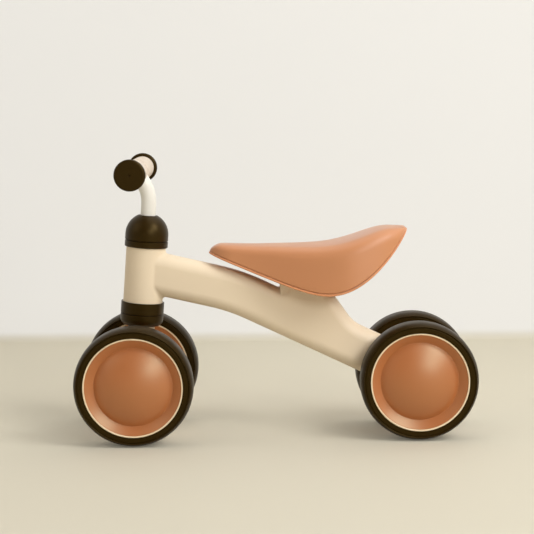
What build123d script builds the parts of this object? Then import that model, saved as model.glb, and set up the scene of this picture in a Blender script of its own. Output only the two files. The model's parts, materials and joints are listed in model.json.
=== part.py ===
from build123d import *

import os
from math import asin, cos, degrees, hypot, pi, radians, sin, sqrt, tan

# Toddler balance bike: a one-piece beam frame, a saddle, a steered fork and four small wheels.
# Millimetres and degrees. +X points forward, +Y to the rider's left and +Z up.
# The origin is on the floor, midway between the axles, on the middle plane.

# Whole bike
wheelbase = 355.2
front_track = 142.8
rear_track = 92.0
head_angle = 4.3
steer_limit = 67.5

# Clearances
running_gap = 0.05
fit_gap = 0.03
turn_gap = 0.35

# Wheels
tyre_diameter = 148.4
tyre_width = 41.0
tyre_shoulder = 7.5
tyre_lip_width = 3.6
tyre_lip_depth = 1.2
rim_diameter = 123.6
rim_wall = 2.1
rim_inset = 1.5
rim_edge_round = 0.7
web_thickness = 4.0
hub_diameter = 30.0
hub_inner_reach = 18.0
hub_outer_reach = 8.0
dish_inset = 0.8
dish_cone_width = 10.8
dish_depth = 7.5
dish_wall = 2.4
dish_skirt = 11.5
dome_rise = 11.5
dish_eye_gap = 1.0

# Axles and what holds the wheels on them
axle_diameter = 10.0
hub_bush_diameter = 16.0
hub_bush_length = 10.0
spacer_diameter = 17.0
washer_diameter = 20.0
washer_thickness = 1.5
axle_nut_width = 17.0
axle_nut_height = 6.0
axle_stub = 1.0

# Frame beam
beam_depth = 53.0
beam_width = 42.0
beam_edge_round = 15.0
beam_tail_angle = 25.3
beam_front_angle = 13.0
beam_bend_x = 52.0
beam_bend_radius = 250.0
tail_flat = 4.0
head_blend = 5.0

# Seat pedestal, which rises out of the beam
pedestal_front_x = -4.3
pedestal_rear_x = -69.0
pedestal_rear_angle = 54.8
pedestal_front_blend = 4.0
pedestal_rear_blend = 45.0
pedestal_stock = 40.0
pedestal_nose_width = 40.0
pedestal_nose_length = 32.0
pedestal_nose_round = 2.5
pedestal_nose_step = 2.0

# Head tube and steering bearings
head_tube_diameter = 50.0
head_foot = 9.2
head_crown = 7.4
collar_diameter = 54.6
collar_chamfer = 0.7
lower_band_lap = 7.0
lower_band_floor = 8.0
upper_band_lap = 4.0
upper_band_floor = 4.0
head_bush_diameter = 32.0
head_bush_length = 14.0
head_core_diameter = 29.0
steerer_diameter = 25.0
steerer_clearance = 1.0

# Steering stop, a lug on the lower cup that runs in a slot of the lower band
stop_inner_radius = 17.5
stop_outer_radius = 21.5
stop_height = 4.0
stop_half_angle = 10.0
stop_clearance = 0.5
stop_slack_angle = 1.0

# Lower cup and fork
cup_height = 15.2
cup_round = 9.0
cup_socket_depth = 4.0
neck_diameter = 34.0
neck_length = 10.0
fork_tube_diameter = 38.0
fork_tube_length = 94.0
fork_tube_round = 3.0
fork_flare_width = 80.0
fork_flare_depth = 30.0
fork_leg_start = 4.75
fork_leg_stages = [(0, 0), (0.35, 0.62), (0.7, 0.9), (1, 1)]
steerer_socket_floor = 24.0

# Dome cap over the stem joint
dome_skirt = 7.5
dome_wall = 3.0
dome_mouth_radius = 12.5
dome_plate = 7.0
stem_bolt_height = 11.0
stem_bolt_diameter = 5.0
stem_bolt_head_diameter = 9.0
stem_bolt_head_height = 4.0
stem_nut_width = 8.0
stem_nut_height = 4.0

# Handlebar
stem_diameter = 19.0
stem_wall = 2.0
stem_insertion = 50.0
stem_bend_radius = 45.0
stem_bend_angle = 35.0
bar_reach = 17.9
bar_height = 260.6
bar_length = 212.0
bar_diameter = 22.0
bar_wall = 2.0
grip_diameter = 30.0
grip_centre_gap = 22.0
grip_end_round = 2.5
bar_cap_diameter = 38.4
bar_cap_thickness = 9.0
bar_cap_round = 3.0
bar_cap_spigot = 18.0
bar_cap_vent_diameter = 3.0
bar_cap_vent_depth = 1.5

# Saddle
seat_length = 249.0
seat_nose_x = 84.6
seat_nose_width = 48.0
seat_rear_width = 124.0
seat_depth = 59.5
seat_tail_lift = 23.5
seat_low_x = -63.0
seat_low_height = 182.3
seat_nose_rim_rise = 49.3
seat_tail_rim_rise = 78.5
seat_belly = 34.0
seat_lip = 2.4
seat_lip_proud = 0.4
seat_shoulder = 14.0
seat_side_lean = 4.0
seat_crown = 3.0
seat_thin_share = 0.25
seat_shoulder_rise_share = 0.6
seat_shoulder_width_share = 0.4
seat_widest = 0.75
seat_nose_round = 0.12
seat_tail_round = 0.32
seat_end_drop = 0.045
seat_lift_start = 0.46
seat_lift_end = 0.95
seat_tip_share = 0.002
seat_slices = 20
seat_seating_gap = 0.25

# Bolts that hold the saddle on the pedestal
seat_bolt_diameter = 6.0
seat_bolt_spacing = 30.0
seat_bolt_grip = 40.0
seat_bolt_head_diameter = 10.0
seat_bolt_head_height = 6.0
seat_bolt_access_diameter = 13.0
seat_post_diameter = 16.0
seat_post_height = 16.0
seat_post_cover = 3.0

# Places that follow from the sizes above
tyre_radius = tyre_diameter / 2
rim_radius = rim_diameter / 2
axle_radius = axle_diameter / 2
steerer_radius = steerer_diameter / 2
stem_radius = stem_diameter / 2
collar_radius = collar_diameter / 2
seat_height = seat_low_height + seat_depth
rear_axle_x = -wheelbase / 2
front_axle_x = wheelbase / 2
steer = Plane(
    origin=(front_axle_x, 0, tyre_radius),
    x_dir=(cos(radians(head_angle)), 0, sin(radians(head_angle))),
    z_dir=(-sin(radians(head_angle)), 0, cos(radians(head_angle))),
)


def heading(angle):
    """Unit vector in the side view at an angle above level."""
    return Vector(cos(radians(angle)), sin(radians(angle)))


def left_of(direction):
    """Unit vector a quarter turn to the left of a side-view direction."""
    return Vector(-direction.Y, direction.X)


def crossing(start, direction, other, other_direction):
    """Point where two side-view lines cross."""
    side = left_of(other_direction)
    return start + direction * ((other - start).dot(side) / direction.dot(side))


# Centre line of the beam in the side view: up from the rear axle, then flatter into the head tube.
tail_way = heading(beam_tail_angle)
front_way = heading(beam_front_angle)
head_way = left_of(heading(head_angle))
rear_axle_point = Vector(rear_axle_x, tyre_radius)
front_axle_point = Vector(front_axle_x, tyre_radius)
beam_bend = rear_axle_point + tail_way * ((beam_bend_x - rear_axle_x) / tail_way.X)
beam_head = crossing(beam_bend, front_way, front_axle_point, head_way)

# Heights along the steering axis, measured from the front axle.
head_back = front_axle_point - heading(head_angle) * (head_tube_diameter / 2)
beam_half_rise = left_of(front_way) * (beam_depth / 2)
beam_low = (crossing(beam_head - beam_half_rise, front_way, head_back, head_way) - head_back).dot(head_way)
beam_high = (crossing(beam_head + beam_half_rise, front_way, head_back, head_way) - head_back).dot(head_way)
head_low = beam_low - head_foot
head_high = beam_high + head_crown
head_tube_low = head_low - lower_band_lap
head_tube_high = head_high + upper_band_lap
lower_band_low = head_tube_low - lower_band_floor
upper_band_high = head_tube_high + upper_band_floor
cup_high = lower_band_low - turn_gap
cup_low = cup_high - cup_height
neck_high = cup_low + cup_socket_depth
dome_low = upper_band_high + turn_gap
dome_centre = dome_low + dome_skirt
dome_high = dome_centre + sqrt(collar_radius**2 - dome_mouth_radius**2)
steerer_high = dome_high - dome_plate
stem_bolt_level = dome_low + stem_bolt_height

# Distances along an axle from the wheel's middle plane, outward.
tyre_side = tyre_width / 2
rim_side = tyre_side - rim_inset
dish_side = rim_side - dish_inset
dish_groove = dish_side - dish_depth
hub_end = hub_outer_reach + turn_gap
nut_low = hub_end + washer_thickness
axle_reach = nut_low + axle_nut_height + axle_stub


def turned(points, radii=None):
    """Solid turned about Z from (radius, height) corners, each rounded by its own radius."""
    outline = FilletPolyline(*points, radius=radii or [0] * len(points), close=True)
    return revolve(Plane.XZ * make_face(outline), Axis.Z)


def ring(outer, inner, low, high):
    """Plain ring about Z."""
    return turned([(inner, low), (outer, low), (outer, high), (inner, high)])


def rod(radius, low, high):
    """Plain round bar along Z."""
    return Pos(0, 0, low) * Cylinder(radius, high - low, align=(Align.CENTER, Align.CENTER, Align.MIN))


def sector(points, half_angle):
    """Part of a turned solid, as far to the left of the front as to the right."""
    profile = Plane.XZ * make_face(Polyline(*points, close=True))
    return Rot(0, 0, -half_angle) * revolve(profile, Axis.Z, 2 * half_angle)


def hex_nut(width, hole, low, high):
    """Six-sided nut along Z, with the width across its flats."""
    blank = RegularPolygon(width / 2, 6, major_radius=False) - Circle(hole)
    return Pos(0, 0, low) * extrude(blank, high - low)


def across(x, z, side=1):
    """Plane whose Z runs along an axle, to the left for side 1 and to the right for side -1."""
    return Plane(origin=(x, 0, z), x_dir=(1, 0, 0), z_dir=(0, side, 0))


def both_sides(x, piece):
    """Two copies of a piece, outward to the left and to the right of an axle's middle."""
    return across(x, tyre_radius, 1) * piece + across(x, tyre_radius, -1) * piece


# Saddle form, as functions of the share t of its length from the nose.
def seat_x(t):
    return seat_nose_x - seat_length * t


def smooth(u):
    """Ease from 0 to 1 with level ends."""
    u = min(max(u, 0), 1)
    return u * u * (3 - 2 * u)


def end_round(t, span):
    """Quarter circle from 0 at the tip to 1 at the end of the span."""
    u = min(t / span, 1)
    return sqrt(1 - (1 - u) ** 2)


def seat_half_width(t):
    """Plan: a narrow nose that eases out to the rear, rounded at both ends."""
    nose, rear = seat_nose_width / 2, seat_rear_width / 2
    body = nose + (rear - nose) * smooth(t / seat_widest)
    return body * end_round(t, seat_nose_round) * end_round(1 - t, seat_tail_round)


def seat_rim(x):
    """Height of the lower rim: a hyperbola up to the nose, a parabola up to the tail."""
    away = x - seat_low_x
    if away < 0:
        return seat_low_height + seat_tail_rim_rise * (away / (seat_x(1) - seat_low_x)) ** 2
    reach = seat_nose_x - seat_low_x
    share = (hypot(away, seat_belly) - seat_belly) / (hypot(reach, seat_belly) - seat_belly)
    return seat_low_height + seat_nose_rim_rise * share


def seat_crest(t):
    """Height of the middle of the top: level, then lifted to the tail, dropping to the rim at both tips."""
    base = seat_rim(seat_x(t)) + seat_lip
    lift = smooth((t - seat_lift_start) / (seat_lift_end - seat_lift_start))
    top = seat_height + seat_tail_lift * lift
    return base + (top - base) * end_round(t, seat_end_drop) * end_round(1 - t, seat_end_drop)


def seat_section(t, points, radii):
    """One upright cross-section of the saddle, from (y, z) corners."""
    plane = Plane(origin=(seat_x(t), 0, 0), x_dir=(0, 1, 0), z_dir=(1, 0, 0))
    return plane * make_face(FilletPolyline(*points, radius=radii, close=True))


def seat_shares(tip):
    """Shares of the length at which sections stand, closer together towards both tips."""
    even = [i / seat_slices for i in range(seat_slices + 1)]
    return [tip + (1 - 2 * tip) * (1 - cos(pi * u)) / 2 for u in even]


def cushion_section(t):
    """Level base inside the lip, leaning sides, round shoulders and a crowned top."""
    half = seat_half_width(t)
    base = seat_rim(seat_x(t)) + seat_lip / 2
    crest = seat_crest(t)
    tall = crest - base
    fullness = min(tall / seat_shoulder, 1)
    top_half = half - min(seat_side_lean, seat_thin_share * half) * fullness
    roof = min(seat_crown, seat_thin_share * tall)
    eave = crest - roof
    shoulder = min(
        seat_shoulder,
        seat_shoulder_rise_share * (eave - base),
        seat_shoulder_width_share * top_half,
    )
    ridge = hypot(top_half, roof) / 2 * top_half / roof
    points = [(-half, base), (half, base), (top_half, eave), (0, crest), (-top_half, eave)]
    return seat_section(t, points, [0, 0, shoulder, ridge, shoulder])


def rim_band(below, above, half_width):
    """Plate of one width that follows the rim in the side view, from below it to above it."""
    rim_line = [(seat_x(t), seat_rim(seat_x(t))) for t in seat_shares(seat_tip_share)]
    low = Spline(*[(x, z - below) for x, z in rim_line])
    high = Spline(*[(x, z + above) for x, z in rim_line])
    outline = make_face([low, high, Line(low @ 0, high @ 0), Line(low @ 1, high @ 1)])
    return extrude(Plane.XZ * outline, half_width, both=True)


def seat_slab(below, above, wider):
    """The part of such a plate inside the plan of the saddle, wider than the cushion on each side."""
    side = [(seat_x(t), seat_half_width(t) + wider) for t in seat_shares(seat_tip_share)]
    left = Spline(*side)
    right = Spline(*[(x, -y) for x, y in side])
    plan = make_face([left, right, Line(left @ 0, right @ 0), Line(left @ 1, right @ 1)])
    return rim_band(below, above, seat_rear_width) & extrude(plan, seat_height + seat_tail_lift)


seat_bolt_middle = (pedestal_front_x + pedestal_rear_x) / 2
seat_bolt_places = [seat_bolt_middle - seat_bolt_spacing / 2, seat_bolt_middle + seat_bolt_spacing / 2]


def seat_cushion():
    """Foam saddle with a moulded skin, which sits on its pan and round the posts of the pan."""
    body = loft([cushion_section(t) for t in seat_shares(2 * seat_tip_share)])
    body -= seat_slab(seat_lip, seat_lip, seat_lip_proud)
    for x in seat_bolt_places:
        top = seat_rim(x) + seat_lip + seat_post_height + turn_gap
        body -= Pos(x, 0, 0) * rod(seat_post_diameter / 2 + turn_gap, 0, top)
    return body


def seat_pan():
    """Curved plate whose lip shows under the cushion, with two posts for the bolts."""
    body = seat_slab(0, seat_lip, seat_lip_proud)
    beneath = rim_band(seat_post_height, 0, seat_post_diameter)
    for x in seat_bolt_places:
        top = seat_rim(x) + seat_lip + seat_post_height
        body += Pos(x, 0, 0) * rod(seat_post_diameter / 2, seat_rim(x), top) - beneath
        body -= Pos(x, 0, 0) * rod(seat_bolt_diameter / 2 + fit_gap, 0, top - seat_post_cover)
    return body


def seat_bolts():
    """Two socket bolts, up through the pedestal into the posts of the pan."""
    bolts = Part()
    for x in seat_bolt_places:
        seat = seat_rim(x) - seat_bolt_grip
        tip = seat_rim(x) + seat_lip + seat_post_height - seat_post_cover - turn_gap
        bolt = rod(seat_bolt_diameter / 2, seat, tip)
        bolt += rod(seat_bolt_head_diameter / 2, seat - seat_bolt_head_height, seat)
        bolts += Pos(x, 0, 0) * bolt
    return bolts


def beam_outline():
    """Side view of the beam with its round tail and the stock of the pedestal."""
    half = beam_depth / 2
    tail_up = left_of(tail_way)
    mitre = (tail_up + left_of(front_way)) * (half / (1 + tail_up.dot(left_of(front_way))))
    top_start = rear_axle_point + tail_up * half
    tail_end = rear_axle_point - tail_way * half
    wall_way = heading(pedestal_rear_angle)
    rear_seat = Vector(pedestal_rear_x, seat_rim(pedestal_rear_x))
    stock_top = seat_rim(pedestal_front_x) + pedestal_stock
    stock_rear = rear_seat + wall_way * (seat_lip / wall_way.Y + beam_edge_round)
    stock_round = beam_edge_round + tail_flat / 2
    wall_x = pedestal_front_x - pedestal_nose_step
    corners = [
        (beam_head + beam_half_rise, None),
        (beam_bend + mitre, beam_bend_radius + half),
        (crossing(top_start, tail_way, Vector(wall_x, 0), Vector(0, 1)), pedestal_front_blend),
        (Vector(wall_x, stock_top), stock_round),
        (Vector(stock_rear.X, stock_top), stock_round),
        (stock_rear, stock_round),
        (crossing(top_start, tail_way, rear_seat, wall_way), pedestal_rear_blend),
        (tail_end + tail_up * half, half - tail_flat / 2),
        (tail_end - tail_up * half, half - tail_flat / 2),
        (beam_bend - mitre, beam_bend_radius - half),
        (beam_head - beam_half_rise, None),
    ]
    points = [point for point, _ in corners]
    path = FilletPolyline(*points, radius=[radius for _, radius in corners[1:-1]])
    return make_face(path + Line(points[-1], points[0]))


def beam():
    """Fat beam with soft edges all round its two sides."""
    body = extrude(Plane.XZ * beam_outline(), beam_width / 2, both=True)
    sides = body.faces().filter_by(Axis.Y)
    soft = [edge for side in sides for edge in side.edges().sort_by(Axis.X)[:-1]]
    return fillet(soft, beam_edge_round)


def pedestal_nose():
    """Upright front of the pedestal, with crisper edges than the beam."""
    low = (rear_axle_point + tail_way * ((pedestal_front_x - rear_axle_x) / tail_way.X)).Y
    high = seat_rim(pedestal_front_x) + pedestal_stock
    plan = RectangleRounded(pedestal_nose_length, pedestal_nose_width, pedestal_nose_round)
    return Pos(pedestal_front_x - pedestal_nose_length / 2, 0, low) * extrude(plan, high - low)


def frame():
    """Beam, head tube and seat pedestal in one moulding, bored for what it carries."""
    blank = beam()
    tube = steer * rod(head_tube_diameter / 2, head_tube_low, head_tube_high)
    body = blank + tube
    seam = new_edges(blank, tube, combined=body)
    body = fillet(seam, head_blend) + pedestal_nose()
    body -= rim_band(seat_seating_gap, seat_height, beam_width)
    body -= steer * rod(head_core_diameter / 2, head_tube_low, head_tube_high)
    socket = head_bush_diameter / 2
    body -= steer * rod(socket, head_tube_low, head_tube_low + head_bush_length)
    body -= steer * rod(socket, head_tube_high - head_bush_length, head_tube_high)
    body -= across(rear_axle_x, tyre_radius) * rod(axle_radius + fit_gap, -beam_width, beam_width)
    for x in seat_bolt_places:
        seat = seat_rim(x) - seat_bolt_grip
        body -= Pos(x, 0, 0) * rod(seat_bolt_diameter / 2 + fit_gap, 0, seat_height)
        body -= Pos(x, 0, 0) * rod(seat_bolt_access_diameter / 2, 0, seat)
    return body


def head_bush(low):
    """Plain bearing bush in the end of the head tube, round the steerer."""
    outer = head_bush_diameter / 2 - fit_gap
    return steer * ring(outer, steerer_radius + running_gap, low, low + head_bush_length)


def lower_head_band():
    """Dark band under the head tube, with the slot of the steering stop in its underside."""
    inner = steerer_radius + steerer_clearance
    sleeve = head_tube_diameter / 2 + fit_gap
    body = turned(
        [
            (inner, lower_band_low),
            (collar_radius - collar_chamfer, lower_band_low),
            (collar_radius, lower_band_low + collar_chamfer),
            (collar_radius, head_low),
            (sleeve, head_low),
            (sleeve, head_tube_low),
            (inner, head_tube_low),
        ]
    )
    slot = [
        (stop_inner_radius - stop_clearance, lower_band_low - turn_gap),
        (stop_outer_radius + stop_clearance, lower_band_low - turn_gap),
        (stop_outer_radius + stop_clearance, lower_band_low + stop_height + stop_clearance),
        (stop_inner_radius - stop_clearance, lower_band_low + stop_height + stop_clearance),
    ]
    half_angle = steer_limit + stop_half_angle + stop_slack_angle
    return steer * (body - sector(slot, half_angle))


def upper_head_band():
    """Dark band over the head tube's upper end."""
    inner = steerer_radius + steerer_clearance
    sleeve = head_tube_diameter / 2 + fit_gap
    body = turned(
        [
            (sleeve, head_high),
            (collar_radius - collar_chamfer, head_high),
            (collar_radius, head_high + collar_chamfer),
            (collar_radius, upper_band_high - collar_chamfer),
            (collar_radius - collar_chamfer, upper_band_high),
            (inner, upper_band_high),
            (inner, head_tube_high),
            (sleeve, head_tube_high),
        ]
    )
    return steer * body


def lower_cup():
    """Round-bottomed cup on the fork's neck, with the lug of the steering stop on top."""
    bore = steerer_radius + fit_gap
    socket = neck_diameter / 2 + fit_gap
    body = turned(
        [
            (bore, neck_high),
            (socket, neck_high),
            (socket, cup_low),
            (collar_radius, cup_low),
            (collar_radius, cup_high - collar_chamfer),
            (collar_radius - collar_chamfer, cup_high),
            (bore, cup_high),
        ],
        [0, 0, 0, cup_round, 0, 0, 0],
    )
    lug = [
        (stop_inner_radius, cup_high - collar_chamfer),
        (stop_outer_radius, cup_high - collar_chamfer),
        (stop_outer_radius, lower_band_low + stop_height),
        (stop_inner_radius, lower_band_low + stop_height),
    ]
    return steer * (body + sector(lug, stop_half_angle))


def fork():
    """Inverted T: a leg that flares out of the neck into a cross tube for the axle."""
    neck_low = neck_high - neck_length
    sections = []
    for height, narrowing in fork_leg_stages:
        width = fork_flare_width + (neck_diameter - fork_flare_width) * narrowing
        depth = fork_flare_depth + (neck_diameter - fork_flare_depth) * narrowing
        level = fork_leg_start + (neck_low - fork_leg_start) * height
        sections.append(Pos(0, 0, level) * Ellipse(depth / 2, width / 2))
    body = loft(sections) + rod(neck_diameter / 2, neck_low, neck_high)
    half = fork_tube_length / 2
    tube = turned(
        [(0, -half), (fork_tube_diameter / 2, -half), (fork_tube_diameter / 2, half), (0, half)],
        [0, fork_tube_round, fork_tube_round, 0],
    )
    body += Rot(90, 0, 0) * tube
    body -= Rot(90, 0, 0) * rod(axle_radius + fit_gap, -fork_tube_length, fork_tube_length)
    return steer * (body - rod(steerer_radius + fit_gap, steerer_socket_floor, neck_high))


def stem_bolt_hole():
    """Cross hole for the bolt that locks the stem in the steerer."""
    reach = collar_radius - dome_wall
    return Pos(0, 0, stem_bolt_level) * Rot(90, 0, 0) * rod(stem_bolt_diameter / 2 + fit_gap, -reach, reach)


def steerer_tube():
    """Steel tube from the fork up through the head tube, which takes the stem."""
    body = ring(steerer_radius, stem_radius + fit_gap, steerer_socket_floor, steerer_high)
    return steer * (body - stem_bolt_hole())


def dome_arc(radius, high):
    """Arc round the dome's centre, from its widest point up to a height."""
    return Pos(0, dome_centre) * CenterArc((0, 0), radius, 0, degrees(asin((high - dome_centre) / radius)))


def dome_cap():
    """Hollow dome over the stem joint, which sits on the end of the steerer."""
    mouth = stem_radius + fit_gap
    outer = dome_arc(collar_radius, dome_high)
    inner = dome_arc(collar_radius - dome_wall, steerer_high)
    skirt = Polyline(
        inner @ 0,
        (collar_radius - dome_wall, dome_low),
        (collar_radius - collar_chamfer, dome_low),
        (collar_radius, dome_low + collar_chamfer),
        outer @ 0,
    )
    collar = Polyline(outer @ 1, (mouth, dome_high), (mouth, steerer_high), inner @ 1)
    return steer * revolve(Plane.XZ * make_face([outer, inner, skirt, collar]), Axis.Z)


def handlebar():
    """Bent stem tube welded to a straight cross tube."""
    corner = bar_height - bar_reach / tan(radians(stem_bend_angle))
    path = Plane.XZ * FilletPolyline(
        (0, steerer_high - stem_insertion), (0, corner), (bar_reach, bar_height), radius=[stem_bend_radius]
    )
    start = Plane(origin=path @ 0, z_dir=path % 0)
    stem = sweep(start * Circle(stem_radius), path)
    bore = sweep(start * Circle(stem_radius - stem_wall), path)
    half = bar_length / 2 - bar_cap_thickness
    place = Pos(bar_reach, 0, bar_height) * Rot(90, 0, 0)
    body = stem + place * rod(bar_diameter / 2, -half, half)
    body -= place * rod(bar_diameter / 2 - bar_wall, -half, half)
    return steer * (body - bore - stem_bolt_hole())


def stem_bolt():
    """Cross bolt under the dome cap."""
    shank = rod(stem_bolt_diameter / 2, -steerer_radius - stem_nut_height, steerer_radius)
    head = rod(stem_bolt_head_diameter / 2, steerer_radius, steerer_radius + stem_bolt_head_height)
    return steer * (Pos(0, 0, stem_bolt_level) * Rot(-90, 0, 0) * (shank + head))


def stem_nut():
    """Nut of the cross bolt."""
    hole = stem_bolt_diameter / 2 + fit_gap
    nut = hex_nut(stem_nut_width, hole, -steerer_radius - stem_nut_height, -steerer_radius)
    return steer * (Pos(0, 0, stem_bolt_level) * Rot(-90, 0, 0) * nut)


def on_bar(side, piece):
    """Place a piece whose Z runs outward along one half of the crossbar."""
    return steer * (Pos(bar_reach, 0, bar_height) * Rot(-90 * side, 0, 0) * piece)


def grip(side):
    """Soft sleeve on one half of the crossbar."""
    inner = bar_diameter / 2 + fit_gap
    low = grip_centre_gap / 2
    high = bar_length / 2 - bar_cap_thickness
    corners = [(inner, low), (grip_diameter / 2, low), (grip_diameter / 2, high), (inner, high)]
    return on_bar(side, turned(corners, [0, grip_end_round, 0, 0]))


def bar_cap(side):
    """Large round cap at one end of the crossbar, with a spigot in the tube and a small vent."""
    face = bar_length / 2
    back = face - bar_cap_thickness
    spigot = bar_diameter / 2 - bar_wall - fit_gap
    vent = bar_cap_vent_diameter / 2
    corners = [
        (0, back - bar_cap_spigot),
        (spigot, back - bar_cap_spigot),
        (spigot, back),
        (bar_cap_diameter / 2, back),
        (bar_cap_diameter / 2, face),
        (vent, face),
        (0, face - bar_cap_vent_depth),
    ]
    return on_bar(side, turned(corners, [0, 0, 0, bar_cap_round, bar_cap_round, 0, 0]))


def tyre():
    """Square-shouldered foam tyre with a small recess beside the rim on each side."""
    bore = rim_radius + fit_gap
    lip = rim_radius + tyre_lip_width
    floor = tyre_side - tyre_lip_depth
    corners = [
        (bore, -floor),
        (lip, -floor),
        (lip + tyre_lip_depth / 2, -tyre_side),
        (tyre_radius, -tyre_side),
        (tyre_radius, tyre_side),
        (lip + tyre_lip_depth / 2, tyre_side),
        (lip, floor),
        (bore, floor),
    ]
    shoulder = min(tyre_shoulder, tyre_radius - lip - tyre_lip_depth)
    return turned(corners, [0, 0, 0, shoulder, shoulder, 0, 0, 0])


def rim():
    """Pale rim barrel, web and hub in one moulding."""
    inner = rim_radius - rim_wall
    hub = hub_diameter / 2
    web = web_thickness / 2
    bore = hub_bush_diameter / 2
    corners = [
        (bore, -hub_inner_reach),
        (hub, -hub_inner_reach),
        (hub, -web),
        (inner, -web),
        (inner, -rim_side),
        (rim_radius, -rim_side),
        (rim_radius, rim_side),
        (inner, rim_side),
        (inner, web),
        (hub, web),
        (hub, hub_outer_reach),
        (bore, hub_outer_reach),
    ]
    edge = rim_edge_round
    return turned(corners, [0, 0, 0, 0, edge, edge, edge, edge, 0, 0, 0, 0])


def outer_dish():
    """Round cover: a sloping border sunk inside the rim, a groove and a dome."""
    edge = rim_radius - rim_wall - fit_gap
    groove = edge - dish_cone_width
    crest = dish_groove + dome_rise
    sphere = (groove**2 + dome_rise**2) / (2 * dome_rise)
    middle = crest - sphere
    half_way = groove / 2
    inner_groove = groove - dish_wall / 2
    inner_sphere = sphere - dish_wall
    inner_low = middle + sqrt(inner_sphere**2 - inner_groove**2)
    dome_middle = (half_way, middle + sqrt(sphere**2 - half_way**2))
    outline = [
        ThreePointArc((0, crest), dome_middle, (groove, dish_groove)),
        Polyline(
            (groove, dish_groove),
            (edge, dish_side),
            (edge, dish_side - dish_skirt),
            (edge - dish_wall, dish_side - dish_skirt),
            (edge - dish_wall, dish_side - 2 * dish_wall),
            (groove, inner_low),
            (inner_groove, inner_low),
        ),
        ThreePointArc(
            (inner_groove, inner_low),
            (half_way, middle + sqrt(inner_sphere**2 - half_way**2)),
            (0, crest - dish_wall),
        ),
        Line((0, crest - dish_wall), (0, crest)),
    ]
    return revolve(Plane.XZ * make_face(outline), Axis.Z)


def inner_dish():
    """Cover on the frame side: the same sloping border round a flat floor with an eye for the hub."""
    edge = rim_radius - rim_wall - fit_gap
    groove = edge - dish_cone_width
    eye = hub_diameter / 2 + dish_eye_gap
    return turned(
        [
            (eye, -dish_groove),
            (groove, -dish_groove),
            (edge, -dish_side),
            (edge, dish_skirt - dish_side),
            (edge - dish_wall, dish_skirt - dish_side),
            (edge - dish_wall, 2 * dish_wall - dish_side),
            (groove, dish_wall - dish_groove),
            (eye, dish_wall - dish_groove),
        ]
    )


def hub_bushes():
    """Two plain bushes, one in each end of the hub."""
    outer = hub_bush_diameter / 2 - fit_gap
    inner = axle_radius + running_gap
    first = ring(outer, inner, -hub_inner_reach, hub_bush_length - hub_inner_reach)
    second = ring(outer, inner, hub_outer_reach - hub_bush_length, hub_outer_reach)
    return first + second


def axle(half_track):
    """Steel axle through both wheels of a pair."""
    return rod(axle_radius, -half_track - axle_reach, half_track + axle_reach)


def spacer(start, half_track):
    """Sleeve between the carrier's side and the wheel's hub."""
    end = half_track - hub_inner_reach - turn_gap
    return ring(spacer_diameter / 2, axle_radius + fit_gap, start, end)


def washer(half_track):
    """Washer outside the hub."""
    low = half_track + hub_end
    return ring(washer_diameter / 2, axle_radius + fit_gap, low, low + washer_thickness)


def axle_nut(half_track):
    """Nut at the end of the axle."""
    low = half_track + nut_low
    return hex_nut(axle_nut_width, axle_radius + fit_gap, low, low + axle_nut_height)


def wheel_pair(end, x, half_track, carrier_side):
    """All named pieces of one axle with its two wheels."""
    pieces = {
        f"{end}_axle": across(x, tyre_radius) * axle(half_track),
        f"{end}_axle_spacers": both_sides(x, spacer(carrier_side, half_track)),
        f"{end}_axle_washers": both_sides(x, washer(half_track)),
        f"{end}_axle_nuts": both_sides(x, axle_nut(half_track)),
    }
    makers = (tyre, rim, outer_dish, inner_dish, hub_bushes)
    for side_name, side in (("left", 1), ("right", -1)):
        for make in makers:
            piece = across(x, tyre_radius, side) * (Pos(0, 0, half_track) * make())
            pieces[f"{end}_{side_name}_{make.__name__}"] = piece
    return pieces


def all_pieces():
    """Every named piece of the bike, in place."""
    pieces = {make.__name__: make() for make in (frame, seat_pan, seat_cushion, seat_bolts)}
    pieces["upper_head_bush"] = head_bush(head_tube_high - head_bush_length)
    pieces["lower_head_bush"] = head_bush(head_tube_low)
    turning = (upper_head_band, lower_head_band, lower_cup, fork, steerer_tube, dome_cap)
    for make in turning + (handlebar, stem_bolt, stem_nut):
        pieces[make.__name__] = make()
    for side_name, side in (("left", 1), ("right", -1)):
        pieces[f"{side_name}_grip"] = grip(side)
        pieces[f"{side_name}_bar_cap"] = bar_cap(side)
    pieces.update(wheel_pair("front", front_axle_x, front_track / 2, fork_tube_length / 2))
    pieces.update(wheel_pair("rear", rear_axle_x, rear_track / 2, beam_width / 2))
    return pieces


os.makedirs("parts", exist_ok=True)
for name, piece in all_pieces().items():
    export_step(piece, os.path.join("parts", f"{name}.step"))
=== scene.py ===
import json
import math
from typing import NamedTuple

import bpy
import numpy as np
from bpy.props import FloatProperty, FloatVectorProperty, IntProperty, PointerProperty
from mathutils import Matrix, Vector


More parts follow.
